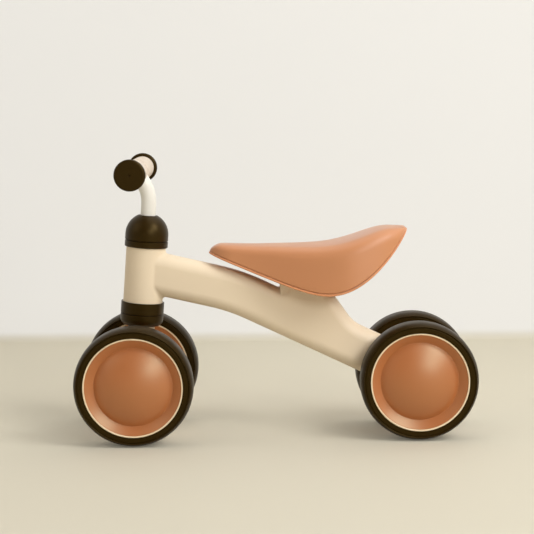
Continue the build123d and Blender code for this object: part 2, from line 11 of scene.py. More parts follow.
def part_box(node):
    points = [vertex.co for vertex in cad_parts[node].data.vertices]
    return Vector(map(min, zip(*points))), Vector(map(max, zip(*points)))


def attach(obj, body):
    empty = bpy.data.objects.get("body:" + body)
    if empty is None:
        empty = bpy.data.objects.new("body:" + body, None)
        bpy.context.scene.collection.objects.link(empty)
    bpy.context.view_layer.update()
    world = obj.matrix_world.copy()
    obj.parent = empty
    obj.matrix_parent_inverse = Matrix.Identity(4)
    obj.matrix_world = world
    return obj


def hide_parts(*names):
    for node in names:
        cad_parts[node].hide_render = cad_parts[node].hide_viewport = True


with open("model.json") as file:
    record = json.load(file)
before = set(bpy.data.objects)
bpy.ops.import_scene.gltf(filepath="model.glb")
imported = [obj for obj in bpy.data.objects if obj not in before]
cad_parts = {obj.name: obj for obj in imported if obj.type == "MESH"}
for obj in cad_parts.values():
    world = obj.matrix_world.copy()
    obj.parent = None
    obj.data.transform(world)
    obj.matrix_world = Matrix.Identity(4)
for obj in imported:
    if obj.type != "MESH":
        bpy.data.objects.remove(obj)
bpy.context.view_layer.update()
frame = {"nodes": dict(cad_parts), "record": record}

bl_info = {
    "name": "Toddler balance bike",
    "version": (1, 0, 0),
    "blender": (4, 5, 0),
    "location": "3D View > Sidebar > Bike",
    "description": "Dresses a four-wheel balance bike: saddle, tyres, covers, finishes and a stage",
    "category": "Object",
}

WHEELS = ("front_left", "front_right", "rear_left", "rear_right")
IMAGE_PIXELS = 534
SENSOR_MM = 36

# Saddle: roundings of its plan and its crest at the tips, as shares of its length
PLAN_NOSE_ROUND = 0.12
PLAN_TAIL_ROUND = 0.38
PLAN_TAIL_POWER = 2.3
CREST_NOSE_ROUND = 0.065
CREST_TAIL_ROUND = 0.013

# Saddle: where its top lifts to the tail and to the nose, as shares of its length
TAIL_LIFT_START = 0.22
TAIL_LIFT_SPAN = 0.7
TAIL_LIFT_POWER = 4
NOSE_LIFT_SPAN = 0.25

# Saddle: limits of the features of a section, as shares of its half width or its height
LEAN_OF_WIDTH = 0.25
LEAN_OF_HEIGHT = 0.08
CROWN_OF_HEIGHT = 0.25
TUCK_OF_WIDTH = 0.3
GROOVE_OF_HEIGHT = 0.2
SHOULDER_OF_HEIGHT = 0.6
SHOULDER_AT_NOSE = 0.28
SHOULDER_GAIN = 0.1
KNEE_OF_WIDTH = 0.5

# Saddle: start of the side in heights of the groove, least height of a section in metres,
# and distance of the end sections from the tips as a share of the length
SIDE_START = 1.6
LEAST_HEIGHT = 0.0002
TIP_GAP = 0.0008

# Points along the parts of an outline
THROAT_STEPS = 5
HEM_STEPS = 7
SIDE_STEPS = 13
SHOULDER_STEPS = 17
ROOF_STEPS = 15
UNDER_STEPS = 13
BEAD_ROWS = 241
BEAD_STEPS = 14
CORNER_STEPS = 8
WALL_STEPS = 41
TREAD_STEPS = 65
DOME_STEPS = 60
COVE_STEPS = 9

# Wheels: power of the tread's crown, and reach of the dome as shares of the groove's radius
TREAD_POWER = 3.2
DOME_REACH = (0.01, 0.97)

# Stage: sizes of the floor and backdrop in metres, with the share of its reach where the floor
# turns up, the height where the wall's colour starts, and the distances where the glow grows
COVE_REACH = 18.0
COVE_HEIGHT = 4.0
COVE_RADIUS = 0.012
COVE_UPTURN = 0.98
WALL_FOOT = 0.02
FAR_GLOW = (0.95, 2.0)
STAGE_ROUGHNESS = 0.75
SURROUND_SHADE = (252, 238, 220)
SURROUND_STRENGTH = 0.14


class Finish(NamedTuple):
    """Look of a surface: names of its material and colour, drift of the colour with its scale,
    roughness with its spread, scale and depth of the grain, share of the slow ripple in the grain,
    and constants of the shader."""

    name: str
    shade: str
    drift: float
    drift_scale: float
    rough: float
    spread: float
    grain: float
    depth: float
    ripple: float = 0.3
    sockets: tuple = ()


class Lamp(NamedTuple):
    """Square soft light, with its side in metres."""

    name: str
    place: tuple
    target: tuple
    size: float
    watts: float
    shade: tuple


FINISHES = {
    "beam_plastic": Finish(
        "cream_beam", "beam", drift=0.04, drift_scale=7, rough=0.48, spread=0.1,
        grain=1500, depth=0.00002, sockets=(("Specular IOR Level", 0.4),),
    ),
    "saddle_skin": Finish(
        "tan_saddle", "saddle", drift=0.06, drift_scale=8, rough=0.47, spread=0.1,
        grain=1100, depth=0.00003,
        sockets=(
            ("Coat Weight", 0.35),
            ("Coat Roughness", 0.5),
            ("Specular IOR Level", 0.4),
            ("Sheen Weight", 0.3),
            ("Sheen Roughness", 0.3),
            ("Sheen Tint", (0.8, 0.9, 1, 1)),
        ),
    ),
    # The bead's paler tan is a painted highlight. It is a lighter copy of the saddle's tan for the
    # light line along the lip, on top of the real highlight from the bead's round shape.
    "bead": Finish(
        "tan_bead", "bead", drift=0.05, drift_scale=8, rough=0.45, spread=0.1,
        grain=1100, depth=0.00001,
    ),
    "dark_plastic": Finish(
        "brown_fittings", "dark", drift=0.2, drift_scale=14, rough=0.38, spread=0.1,
        grain=1500, depth=0.00002,
        sockets=(("Specular IOR Level", 0.25), ("Specular Tint", (1, 0.72, 0.3, 1))),
    ),
    "tyre_foam": Finish(
        "foam_tyre", "tyre", drift=0.3, drift_scale=60, rough=0.4, spread=0.16,
        grain=620, depth=0.00016, ripple=0.15,
        sockets=(
            ("Specular IOR Level", 0.12),
            ("Specular Tint", (1, 0.72, 0.3, 1)),
            ("Sheen Weight", 0.07),
            ("Sheen Roughness", 0.3),
        ),
    ),
    "rim_plastic": Finish(
        "cream_rim", "rim", drift=0.04, drift_scale=12, rough=0.4, spread=0.08,
        grain=1500, depth=0.00001,
    ),
    "dish_plastic": Finish(
        "terracotta_dish", "dish", drift=0.06, drift_scale=10, rough=0.42, spread=0.06,
        grain=1600, depth=0.000012,
        sockets=(
            ("Specular IOR Level", 1.0),
            ("Specular Tint", (0.88, 1, 0.72, 1)),
            ("Coat Weight", 0.2),
            ("Coat Roughness", 0.5),
        ),
    ),
    "stem_paint": Finish(
        "white_stem", "stem", drift=0.03, drift_scale=20, rough=0.4, spread=0.08,
        grain=900, depth=0.00002, ripple=0.5,
    ),
    "grip_rubber": Finish(
        "cream_grip", "grip", drift=0.06, drift_scale=25, rough=0.6, spread=0.1,
        grain=1000, depth=0.00005,
    ),
    "bush_nylon": Finish(
        "nylon_bush", "nylon", drift=0.05, drift_scale=30, rough=0.5, spread=0.08,
        grain=1500, depth=0.00001,
    ),
    "steel": Finish(
        "zinc_steel", "steel", drift=0.15, drift_scale=60, rough=0.32, spread=0.15,
        grain=1800, depth=0.00001, ripple=0.6, sockets=(("Metallic", 1.0),),
    ),
}

LAMPS = (
    Lamp("key", (-1.45, 1.1, 1.75), (0, 0, 0.15), size=1.2, watts=38, shade=(1, 0.99, 0.97)),
    Lamp("front", (-1.6, 3.15, 1.5), (0, 0, 0.12), size=1.0, watts=40, shade=(1, 0.99, 0.97)),
    Lamp("back_glow", (-0.3, -0.4, 1.9), (-0.1, 0, 0), size=2.0, watts=18, shade=(1, 0.995, 0.985)),
    Lamp("left_glow", (1.35, 0.6, 1.2), (0, 0, 0.25), size=1.2, watts=6.5, shade=(1, 0.95, 0.88)),
)


def linear(red, green, blue):
    """Scene-linear colour of an 8-bit display colour: c/12.92 below 0.04, else
    ((c + 0.055)/1.055)^2.4."""
    c = np.array([red, green, blue]) / 255
    return tuple(np.where(c <= 0.04045, c / 12.92, ((c + 0.055) / 1.055) ** 2.4))


def colour(name, description, shade):
    """A colour property with its default given as an 8-bit display colour."""
    return FloatVectorProperty(
        name=name,
        description=description,
        subtype="COLOR",
        size=3,
        min=0,
        max=1,
        default=linear(*shade),
    )


def distance(name, description, metres):
    """A length property in metres."""
    return FloatProperty(
        name=name, description=description, unit="LENGTH", precision=4, default=metres
    )


def share(name, description, value):
    """A plain number from 0 to 1."""
    return FloatProperty(
        name=name, description=description, subtype="FACTOR", min=0, max=1, default=value
    )


def angle(name, description, degrees):
    """An angle property with its default given in degrees."""
    return FloatProperty(
        name=name, description=description, subtype="ANGLE", default=math.radians(degrees)
    )


class BikeFinishes(bpy.types.PropertyGroup):
    """Colours of the finishes."""

    beam: colour("Beam", "Satin cream moulding of the frame and the fork", (232, 214, 186))
    saddle: colour("Saddle", "Tan skin of the saddle", (198, 135, 91))
    # The bead's paler tan is a painted highlight along the saddle's lip, not a colour of its own.
    bead: colour("Bead", "Paler tan of the bead along the saddle's lip", (212, 144, 98))
    dark: colour("Fittings", "Dark brown of the head bands, dome and bar caps", (38, 25, 4))
    tyre: colour("Tyre", "Dark foam of the tyres", (46, 33, 10))
    rim: colour("Rim", "Cream moulding of the rims", (245, 224, 188))
    dish: colour("Dish", "Terracotta wheel covers", (176, 102, 53))
    stem: colour("Stem", "Off-white powder coat of the handlebar", (229, 227, 219))
    grip: colour("Grip", "Cream rubber of the grips", (212, 198, 182))
    nylon: colour("Nylon", "Off-white bushes and spacers", (214, 208, 194))
    steel: colour("Steel", "Zinc-plated axles, nuts and bolts", (172, 171, 168))
    floor: colour("Floor", "Pale floor", (206, 200, 182))
    wall: colour("Wall", "Pale backdrop", (236, 234, 229))


class SaddleSizes(bpy.types.PropertyGroup):
    """Sizes of the saddle, as in the solid that it stands for."""

    nose_x: distance("Nose", "Place of the nose along X", 0.0846)
    length: distance("Length", "Length from nose to tail", 0.249)
    nose_width: distance("Nose width", "Width near the nose", 0.048)
    rear_width: distance("Rear width", "Width at the rear", 0.124)
    top: distance("Top", "Height of the level part of the top", 0.2422)
    tail_lift: distance("Tail lift", "Rise of the tail above the level part", 0.0222)
    low_x: distance("Low point", "Place of the lowest point of the rim along X", -0.063)
    low_z: distance("Low height", "Height of the lowest point of the rim", 0.1823)
    nose_rise: distance("Nose rise", "Rise of the rim from its lowest point to the nose", 0.0493)
    tail_rise: distance("Tail rise", "Rise of the rim from its lowest point to the tail", 0.0785)
    belly: distance("Belly", "Roundness of the rim at its lowest point", 0.034)
    lip: distance("Lip", "Height of the lip under the skin", 0.0012)
    shoulder: distance("Shoulder", "Largest rounding between side and top", 0.02)
    lean: distance("Lean", "How far the sides lean in", 0.004)
    crown: distance("Crown", "Rise of the top across its width", 0.0036)
    nose_lift: distance("Nose lift", "Rise of the top towards the nose", 0.0016)
    bead: distance("Bead", "Radius of the round bead along the lip", 0.0012)
    groove: distance("Groove", "Height and depth of the groove above the bead", 0.0018)
    overlap: distance("Overlap", "How far the skin stands out over the lip", 0.0003)
    widest: share("Widest", "Share of the length where the plan is widest", 0.75)
    rows: IntProperty(name="Rows", description="Sections along the saddle", default=161, min=21)


class WheelSizes(bpy.types.PropertyGroup):
    """Sizes of the tyres and covers beyond those that the solids give."""

    sidewall: distance("Side wall", "Height of the flat wall beside the rim", 0.008)
    wall_recess: distance("Wall recess", "Depth of the side wall inside the tread's edge", 0.0011)
    tread_edge: distance("Tread edge", "Rounding of the edge of the tread", 0.0009)
    line_depth: distance("Line depth", "Depth of the moulded line under the tread", 0.0008)
    line_width: distance("Line width", "Width of the moulded line", 0.0013)
    cone_width: distance("Border width", "Width of the sloping border of a cover", 0.0108)
    cone_depth: distance("Border depth", "Depth of the groove inside the border", 0.0083)
    dome_rise: distance("Dome rise", "Height of the dome above the groove", 0.0155)
    cover_wall: distance("Cover wall", "Thickness of a cover", 0.0024)
    skirt: distance("Skirt", "Depth of the skirt that holds a cover in the rim", 0.0115)
    rounding: distance("Rounding", "Rounding of the edges of a cover", 0.0007)
    turns: IntProperty(name="Turns", description="Sections round a wheel", default=144, min=24)


class StageSettings(bpy.types.PropertyGroup):
    """Camera, backdrop and glow."""

    camera_place: FloatVectorProperty(
        name="Camera",
        description="Place of the camera",
        subtype="XYZ",
        unit="LENGTH",
        size=3,
        default=(0.01871, 1.89656, 0.42836),
    )
    heading: angle("Heading", "Turn of the view away from the side of the bike", -0.208)
    dip: angle("Dip", "Angle by which the camera looks down", 6.489)
    roll: angle("Roll", "Roll of the camera", -0.365)
    focal_pixels: FloatProperty(
        name="Focal length", description="Focal length in image pixels", default=1500
    )
    wall_y: distance("Wall", "Place of the backdrop behind the bike", -0.72)
    floor_glow: share("Floor glow", "Share of the floor's own colour that glows", 0.16)
    wall_glow: share("Wall glow", "Share of the backdrop's own colour that glows", 0.6)


# Materials


def new_group(name, inputs, outputs):
    """Empty shader node group with the named sockets."""
    group = bpy.data.node_groups.new(name, "ShaderNodeTree")
    for in_out, sockets in (("INPUT", inputs), ("OUTPUT", outputs)):
        for socket_name, kind in sockets.items():
            group.interface.new_socket(socket_name, in_out=in_out, socket_type=kind)
    return group, group.nodes.new("NodeGroupInput"), group.nodes.new("NodeGroupOutput")


def add(tree, kind, values=(), **settings):
    """New node with its properties and the values of its sockets set."""
    node = tree.nodes.new(kind)
    for key, value in settings.items():
        setattr(node, key, value)
    for socket, value in dict(values).items():
        node.inputs[socket].default_value = value
    return node


def wire(tree, *pairs):
    """Links from each pair's first socket to its second."""
    for source, target in pairs:
        tree.links.new(source, target)


def tone_group():
    """Slow drift of a colour: noise at a low scale darkens the colour by up to Amount."""
    group, inp, out = new_group(
        "tone_drift",
        {"Colour": "NodeSocketColor", "Amount": "NodeSocketFloat", "Scale": "NodeSocketFloat"},
        {"Colour": "NodeSocketColor"},
    )
    coord = add(group, "ShaderNodeTexCoord")
    noise = add(
        group, "ShaderNodeTexNoise", {"Detail": 3, "Roughness": 0.45}, noise_dimensions="3D"
    )
    depth = add(group, "ShaderNodeMath", operation="MULTIPLY")
    gain = add(group, "ShaderNodeMath", {0: 1}, operation="SUBTRACT")
    scaled = add(group, "ShaderNodeVectorMath", operation="SCALE")
    wire(
        group,
        (coord.outputs["Object"], noise.inputs["Vector"]),
        (inp.outputs["Scale"], noise.inputs["Scale"]),
        (noise.outputs["Fac"], depth.inputs[0]),
        (inp.outputs["Amount"], depth.inputs[1]),
        (depth.outputs[0], gain.inputs[1]),
        (inp.outputs["Colour"], scaled.inputs[0]),
        (gain.outputs[0], scaled.inputs["Scale"]),
        (scaled.outputs[0], out.inputs["Colour"]),
    )


def grain_group():
    """Fine moulded grain: small cells over a slower ripple, as a height and as a roughness."""
    names = ("Scale", "Ripple", "Roughness", "Spread")
    group, inp, out = new_group(
        "fine_grain",
        dict.fromkeys(names, "NodeSocketFloat"),
        dict.fromkeys(("Height", "Roughness"), "NodeSocketFloat"),
    )
    coord = add(group, "ShaderNodeTexCoord")
    cells = add(group, "ShaderNodeTexVoronoi", {"Smoothness": 0.6}, feature="SMOOTH_F1")
    ripple = add(group, "ShaderNodeTexNoise", {"Scale": 60, "Detail": 4})
    mixed = add(group, "ShaderNodeMix", data_type="FLOAT")
    wide = add(group, "ShaderNodeMath", operation="MULTIPLY_ADD")
    centred = add(group, "ShaderNodeMath", {1: 0.5}, operation="SUBTRACT")
    wire(
        group,
        (coord.outputs["Object"], cells.inputs["Vector"]),
        (coord.outputs["Object"], ripple.inputs["Vector"]),
        (inp.outputs["Scale"], cells.inputs["Scale"]),
        (inp.outputs["Ripple"], mixed.inputs["Factor"]),
        (cells.outputs["Distance"], mixed.inputs["A"]),
        (ripple.outputs["Fac"], mixed.inputs["B"]),
        (mixed.outputs["Result"], out.inputs["Height"]),
        (ripple.outputs["Fac"], centred.inputs[0]),
        (centred.outputs[0], wide.inputs[0]),
        (inp.outputs["Spread"], wide.inputs[1]),
        (inp.outputs["Roughness"], wide.inputs[2]),
        (wide.outputs[0], out.inputs["Roughness"]),
    )


def new_material(name):
    """Material with nodes, its node tree and its shader."""
    material = bpy.data.materials.new(name)
    material.use_nodes = True
    tree = material.node_tree
    return material, tree, tree.nodes["Principled BSDF"]


def finish_material(look, shade):
    """A finish: drifting base colour, grained roughness and a bump of the same grain, with the
    constants set on the shader."""
    material, tree, shader = new_material(look.name)
    tone = add(
        tree,
        "ShaderNodeGroup",
        {"Colour": (*shade, 1), "Amount": look.drift, "Scale": look.drift_scale},
        node_tree=bpy.data.node_groups["tone_drift"],
    )
    grained = add(
        tree,
        "ShaderNodeGroup",
        {
            "Scale": look.grain,
            "Ripple": look.ripple,
            "Roughness": look.rough,
            "Spread": look.spread,
        },
        node_tree=bpy.data.node_groups["fine_grain"],
    )
    bump = add(tree, "ShaderNodeBump", {"Strength": 1, "Distance": look.depth})
    wire(
        tree,
        (tone.outputs["Colour"], shader.inputs["Base Color"]),
        (grained.outputs["Roughness"], shader.inputs["Roughness"]),
        (grained.outputs["Height"], bump.inputs["Height"]),
        (bump.outputs["Normal"], shader.inputs["Normal"]),
    )
    for socket, value in look.sockets:
        shader.inputs[socket].default_value = value
    material.diffuse_color = (*shade, 1)
    return material


# Surfaces


def ease(u):
    """u²(3 − 2u) with u held between 0 and 1."""
    u = np.clip(u, 0, 1)
    return u * u * (3 - 2 * u)


def quarter(t, span, power=2.0):
    """Quarter of a circle, or of a fuller oval, from 0 at a tip to 1 after the span:
    (1 − (1−u)^p)^(1/p)."""
    return (1 - (1 - np.clip(t / span, 0, 1)) ** power) ** (1 / power)


def soft_least(*values):
    """Smooth least of positive values: (a⁻⁴ + b⁻⁴ + …)^(−1/4)."""
    return sum(np.maximum(v, 1e-9) ** -4.0 for v in values) ** -0.25


def unit(vectors):
    """Rows scaled to length 1."""
    return vectors / np.linalg.norm(vectors, axis=1)[:, None]


def bezier(a, b, c, u):
    """Quadratic curve (1−u)²a + 2u(1−u)b + u²c for arrays of points a, b and c."""
    u = u[None, :, None]
    a, b, c = a[:, None], b[:, None], c[:, None]
    return (1 - u) ** 2 * a + 2 * u * (1 - u) * b + u * u * c


def stations(count):
    """Shares of the saddle's length, closer at its tips: e + (1 − 2e)(1 − cos v)/2 for v from 0
    to π."""
    turn = np.linspace(0, math.pi, count)
    return TIP_GAP + (1 - 2 * TIP_GAP) * (1 - np.cos(turn)) / 2


def half_width(s, t):
    """Half plan width: eases from the nose width to the rear width, with a rounding at each tip."""
    nose, rear = s.nose_width / 2, s.rear_width / 2
    plan = nose + (rear - nose) * ease(t / s.widest)
    return plan * quarter(t, PLAN_NOSE_ROUND) * quarter(1 - t, PLAN_TAIL_ROUND, PLAN_TAIL_POWER)


def rim_height(s, x):
    """Rim: parabola behind the low point, hyperbola in front of it."""
    away = x - s.low_x
    tail = s.low_z + s.tail_rise * (away / (s.nose_x - s.length - s.low_x)) ** 2
    reach = np.hypot(s.nose_x - s.low_x, s.belly) - s.belly
    nose = s.low_z + s.nose_rise * (np.hypot(away, s.belly) - s.belly) / reach
    return np.where(away < 0, tail, nose)


def crest_height(s, t, base):
    """Middle of the top: lifted to the tail by an eased power and a little to the nose, with a
    quarter circle at each tip."""
    tail = s.tail_lift * ease((t - TAIL_LIFT_START) / TAIL_LIFT_SPAN) ** TAIL_LIFT_POWER
    top = s.top + tail + s.nose_lift * (1 - ease(t / NOSE_LIFT_SPAN))
    return base + (top - base) * quarter(t, CREST_NOSE_ROUND) * quarter(1 - t, CREST_TAIL_ROUND)


def saddle_grid(s):
    """Rings (x, y, z) of the cushion, mirrored across y: groove, leaning side, rounded shoulder,
    crowned roof and flat underside. Groove, shoulder and roof are parabolas
    (1−u)²a + 2u(1−u)k + u²c that share tangents, and the roof is level at y = 0."""
    t = stations(s.rows)
    x = s.nose_x - s.length * t
    half = half_width(s, t) + s.overlap
    base = rim_height(s, x) + s.lip
    crest = np.maximum(crest_height(s, t, base), base + LEAST_HEIGHT)
    tall = crest - base
    top_half = half - soft_least(s.lean, LEAN_OF_WIDTH * half, LEAN_OF_HEIGHT * tall)
    roof = soft_least(s.crown, CROWN_OF_HEIGHT * tall)
    tuck = soft_least(s.groove, TUCK_OF_WIDTH * half)
    groove = soft_least(s.groove, GROOVE_OF_HEIGHT * tall)
    widest_cut = (SHOULDER_AT_NOSE + SHOULDER_GAIN * ease(t)) * top_half
    cut = soft_least(s.shoulder, SHOULDER_OF_HEIGHT * tall, widest_cut)[:, None]
    sill = np.stack([half - tuck, base], 1)
    throat = np.stack([half - tuck, base + groove / 2], 1)
    hem = np.stack([half, base + groove], 1)
    bend = (throat + hem) / 2
    foot = np.stack([half, base + SIDE_START * groove], 1)
    eave = np.stack([top_half, crest - roof], 1)
    knee = np.stack([KNEE_OF_WIDTH * top_half, crest], 1)
    ridge = np.stack([np.zeros_like(half), crest], 1)
    side_end = eave + unit(foot - eave) * cut
    roof_start = eave + unit(knee - eave) * cut
    up_side = np.linspace(0, 1, SIDE_STEPS)[None, :, None]
    right = np.concatenate(
        [
            bezier(sill, throat, bend, np.linspace(0, 1, THROAT_STEPS)),
            bezier(bend, hem, foot, np.linspace(0, 1, HEM_STEPS)[1:-1]),
            foot[:, None] + (side_end - foot)[:, None] * up_side,
            bezier(side_end, eave, roof_start, np.linspace(0, 1, SHOULDER_STEPS)[1:]),
            bezier(roof_start, knee, ridge, np.linspace(0, 1, ROOF_STEPS)[1:]),
        ],
        1,
    )
    left = right[:, ::-1][:, 1:] * np.array([-1, 1])
    across = np.linspace(-1, 1, UNDER_STEPS)[1:-1]
    under = sill[:, None] * np.stack([across, np.ones_like(across)], 1)[None]
    ring = np.concatenate([right, left, under], 1)
    along = np.repeat(x[:, None], ring.shape[1], 1)
    return np.dstack([along, ring])


def bead_grid(s):
    """Tube round the lip: circles of the bead's radius on the closed line (x, ±half width, rim)."""
    t = stations(BEAD_ROWS)
    x = s.nose_x - s.length * t
    y = half_width(s, t)
    z = rim_height(s, x) + s.lip / 2
    line = np.concatenate([np.stack([x, y, z], 1), np.stack([x, -y, z], 1)[::-1]])
    along = np.roll(line, -1, 0) - np.roll(line, 1, 0)
    out = unit(np.stack([-along[:, 1], along[:, 0], np.zeros(len(line))], 1))
    up = unit(np.cross(along, out))
    turn = np.linspace(0, 2 * math.pi, BEAD_STEPS, endpoint=False)[None, :, None]
    return line[:, None] + s.bead * (np.cos(turn) * out[:, None] + np.sin(turn) * up[:, None])


def softened(corners, reach):
    """Open outline whose inner corners are quadratic curves that start and end at a distance from
    the corner."""
    corners = np.array(corners)
    here = corners[1:-1]
    start = here + reach * unit(corners[:-2] - here)
    end = here + reach * unit(corners[2:] - here)
    return bezier(start, here, end, np.linspace(0, 1, CORNER_STEPS)).reshape(-1, 2)


def tyre_profile(s, bore, radius, half):
    """Loop (radius, across): recessed wall with a moulded line of depth d·exp(−u²), rounded edge,
    and crown r = e + (R − e)(1 − |a/h|^p)."""
    edge = bore + s.sidewall
    wall_r = np.linspace(bore, edge, WALL_STEPS)
    from_line = (wall_r - edge + s.line_width) / (s.line_width / 2)
    wall = np.stack([wall_r, half - s.wall_recess - s.line_depth * np.exp(-(from_line**2))], 1)
    across = (half - s.tread_edge) * np.linspace(1, -1, TREAD_STEPS)
    crown = 1 - np.abs(across / half) ** TREAD_POWER
    tread = np.stack([edge + (radius - edge) * crown, across], 1)
    corner = softened([wall[-1], (edge, half), tread[0]], s.tread_edge)
    mirror = np.array([1, -1])
    return np.concatenate(
        [wall, corner, tread[1:-1], corner[::-1] * mirror, wall[::-1] * mirror]
    )


def cover_profile(s, edge, face):
    """Path (radius, across) of a cover: dome as a ball's cap, groove, sloping border, skirt, and
    back inside it."""
    groove_r, groove = edge - s.cone_width, face - s.cone_depth
    ball = (groove_r**2 + s.dome_rise**2) / (2 * s.dome_rise)
    centre = groove + s.dome_rise - ball
    r = groove_r * np.linspace(*DOME_REACH, DOME_STEPS)
    dome = np.stack([r, centre + np.sqrt(ball**2 - r**2)], 1)
    inside = np.stack([r, centre + np.sqrt((ball - s.cover_wall) ** 2 - r**2)], 1)[::-1]
    deep = face - s.skirt
    corners = [
        dome[-1],
        (groove_r, groove),
        (edge, face),
        (edge, deep),
        (edge - s.cover_wall, deep),
        (edge - s.cover_wall, face - 2 * s.cover_wall),
        (groove_r, groove - s.cover_wall),
        inside[0],
    ]
    return np.concatenate([dome, softened(corners, s.rounding), inside])


def turned(profile, axle, middle, side, count):
    """Rings of a profile about an axle along Y: (x + r·cos v, middle + side·a, z + r·sin v)."""
    turn = np.linspace(0, 2 * math.pi, count, endpoint=False)[:, None]
    r, across = profile[:, 0], profile[:, 1]
    x, z = axle[0] + r * np.cos(turn), axle[1] + r * np.sin(turn)
    return np.dstack(np.broadcast_arrays(x, middle + side * across, z))


def cove_grid(wall_y):
    """Floor and backdrop in one sheet: a level run, a quarter circle and an upright run, carried
    along X. The far ends of the floor turn up as well: z = height at |x| = reach and y = reach."""
    turn = np.linspace(0, math.pi / 2, COVE_STEPS)
    front = COVE_REACH * np.array([1, COVE_UPTURN])
    y = np.concatenate([front, wall_y + COVE_RADIUS - COVE_RADIUS * np.sin(turn), [wall_y]])
    z = np.concatenate([[COVE_HEIGHT, 0], COVE_RADIUS - COVE_RADIUS * np.cos(turn), [COVE_HEIGHT]])
    x = COVE_REACH * np.array([-1, -COVE_UPTURN, 0, COVE_UPTURN, 1])
    ends = COVE_HEIGHT * (np.abs(x) == COVE_REACH)
    z = np.maximum(ends[:, None], z[None])
    return np.dstack(np.broadcast_arrays(x[:, None], y[None], z))


def quads(index):
    """Faces between the neighbours in a grid of point numbers."""
    corners = [index[:-1, :-1], index[:-1, 1:], index[1:, 1:], index[1:, :-1]]
    return np.stack(corners, -1).reshape(-1, 4).tolist()


def numbers(grid):
    """Point numbers of a grid of points."""
    return np.arange(grid.shape[0] * grid.shape[1]).reshape(grid.shape[:2])


def new_piece(name, points, faces):
    """Object at the origin with a smooth mesh."""
    mesh = bpy.data.meshes.new(name)
    mesh.from_pydata(points.tolist(), [], faces)
    mesh.polygons.foreach_set("use_smooth", np.ones(len(mesh.polygons), bool))
    mesh.update()
    piece = bpy.data.objects.new(name, mesh)
    bpy.context.scene.collection.objects.link(piece)
    return piece


def skin(grid, name, closed_rows=False):
    """Closed piece over rings of points. Each end ring gets a pole, unless the rows close too."""
    index = numbers(grid)
    index = np.hstack([index, index[:, :1]])
    points = grid.reshape(-1, 3)
    if closed_rows:
        return face_outwards(new_piece(name, points, quads(np.vstack([index, index[:1]]))))
    poles = np.stack([grid[0].mean(0), grid[-1].mean(0)])
    first = np.full(grid.shape[1], len(points))
    fans = [
        np.stack([first, index[0, 1:], index[0, :-1]], 1),
        np.stack([first + 1, index[-1, :-1], index[-1, 1:]], 1),
    ]
    faces = quads(index) + np.concatenate(fans).tolist()
    return face_outwards(new_piece(name, np.vstack([points, poles]), faces))


def face_outwards(piece):
    """Turns the faces of a closed piece outwards when its volume, Σ a·(b × c)/6, is negative."""
    mesh = piece.data
    mesh.calc_loop_triangles()
    corners = np.empty(3 * len(mesh.loop_triangles), np.int32)
    mesh.loop_triangles.foreach_get("vertices", corners)
    points = np.empty(3 * len(mesh.vertices), np.float32)
    mesh.vertices.foreach_get("co", points)
    a, b, c = points.astype(float).reshape(-1, 3)[corners.reshape(-1, 3)].transpose(1, 0, 2)
    if (a * np.cross(b, c)).sum() < 0:
        mesh.flip_normals()
    return piece


# Operators


class BIKE_OT_finishes(bpy.types.Operator):
    """Make the finishes and put them on the moulded, rubber and metal pieces"""

    bl_idname = "bike.finishes"
    bl_label = "Finish the pieces"

    def execute(self, context):
        colours = context.scene.bike_finishes
        tone_group()
        grain_group()
        materials = {
            slot: finish_material(look, getattr(colours, look.shade))
            for slot, look in FINISHES.items()
        }
        for part in frame["record"]["subparts"]:
            mesh = frame["nodes"][part["node"]].data
            mesh.materials.clear()
            mesh.materials.append(materials[part["material_slot"]])
        return {"FINISHED"}


class BIKE_OT_saddle(bpy.types.Operator):
    """Make the padded saddle and the bead round its lip"""

    bl_idname = "bike.saddle"
    bl_label = "Saddle"

    def execute(self, context):
        sizes = context.scene.bike_saddle
        cushion = skin(saddle_grid(sizes), "saddle")
        bead = skin(bead_grid(sizes), "saddle_bead", closed_rows=True)
        # The bead wears the paler tan, which is a painted highlight along the lip.
        for piece, finish_name in ((cushion, "tan_saddle"), (bead, "tan_bead")):
            piece.data.materials.append(bpy.data.materials[finish_name])
            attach(piece, "frame")
        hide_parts("seat_cushion")
        return {"FINISHED"}


class BIKE_OT_wheels(bpy.types.Operator):
    """Make the crowned tyres and the domed covers of the four wheels"""

    bl_idname = "bike.wheels"
    bl_label = "Tyres and covers"

    def execute(self, context):
        sizes = context.scene.bike_wheels
        for wheel in WHEELS:
            low, high = map(np.array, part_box(f"{wheel}_tyre"))
            middle, spread = (low + high) / 2, (high - low) / 2
            axle = middle[[0, 2]]
            side = np.sign(middle[1])
            rim_low, rim_high = map(np.array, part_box(f"{wheel}_rim"))
            bore = (rim_high - rim_low)[0] / 2
            profile = tyre_profile(sizes, bore, spread[2], spread[1])
            rings = turned(profile, axle, middle[1], side, sizes.turns)
            tyre = skin(rings, f"{wheel}_tread", closed_rows=True)
            cover_low, cover_high = map(np.array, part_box(f"{wheel}_outer_dish"))
            face = min(abs(cover_low[1]), abs(cover_high[1])) + sizes.skirt
            path = cover_profile(sizes, (cover_high - cover_low)[0] / 2, face)
            rings = turned(path, axle, 0, side, sizes.turns).transpose(1, 0, 2)
            cover = skin(rings, f"{wheel}_cover")
            for piece, finish_name, slot, node in (
                (tyre, "foam_tyre", "tyre_foam", f"{wheel}_tyre"),
                (cover, "terracotta_dish", "dish_plastic", f"{wheel}_outer_dish"),
            ):
                piece.data.materials.append(bpy.data.materials[finish_name])
                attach(piece, wheel)
                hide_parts(node)
        return {"FINISHED"}


def area_light(lamp):
    """Square soft light at its place, facing its target."""
    light = bpy.data.lights.new(lamp.name, "AREA")
    light.size = lamp.size
    light.energy = lamp.watts
    light.color = lamp.shade
    piece = bpy.data.objects.new(lamp.name, light)
    aim = Vector(lamp.target) - Vector(lamp.place)
    turn = aim.to_track_quat("-Z", "Y").to_matrix().to_4x4()
    piece.matrix_world = Matrix.Translation(lamp.place) @ turn
    bpy.context.scene.collection.objects.link(piece)


